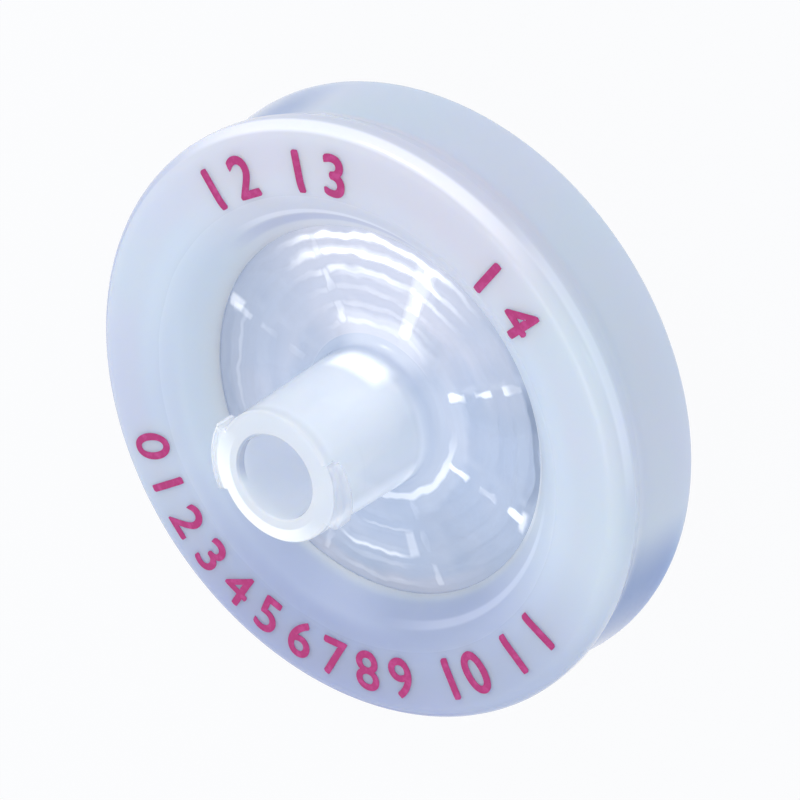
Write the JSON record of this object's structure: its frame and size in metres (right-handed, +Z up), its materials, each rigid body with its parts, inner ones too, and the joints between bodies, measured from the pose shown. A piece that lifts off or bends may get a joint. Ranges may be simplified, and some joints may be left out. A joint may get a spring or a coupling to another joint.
{
  "type": "syringe filter",
  "caption": "Disc-shaped luer filter: two clear welded housings grip a membrane, a moulded band closes their edge, with a lugged inlet hub and a slip outlet tip.",
  "frame": {"origin": "on the ground, under the middle of the part's bounding box", "axes": "+Z up from the ground; the filter lies tilted on the band's rear rim, towards -Y, and the tip of its outlet, towards +Y; the inlet hub points up and towards -Y, in the YZ plane"},
  "size_m": [0.031, 0.028, 0.0232],
  "materials": {
    "inlet_plastic": "translucent natural polypropylene, glossy window",
    "membrane_polymer": "matte white cast membrane",
    "outlet_plastic": "translucent natural polypropylene, satin",
    "band_plastic": "milky moulded polypropylene, satin, with a printed face"
  },
  "bodies": {
    "root": {"inlet_housing": "inlet_plastic", "membrane": "membrane_polymer", "outlet_housing": "outlet_plastic", "overmould_ring": "band_plastic"}
  },
  "joints": []
}
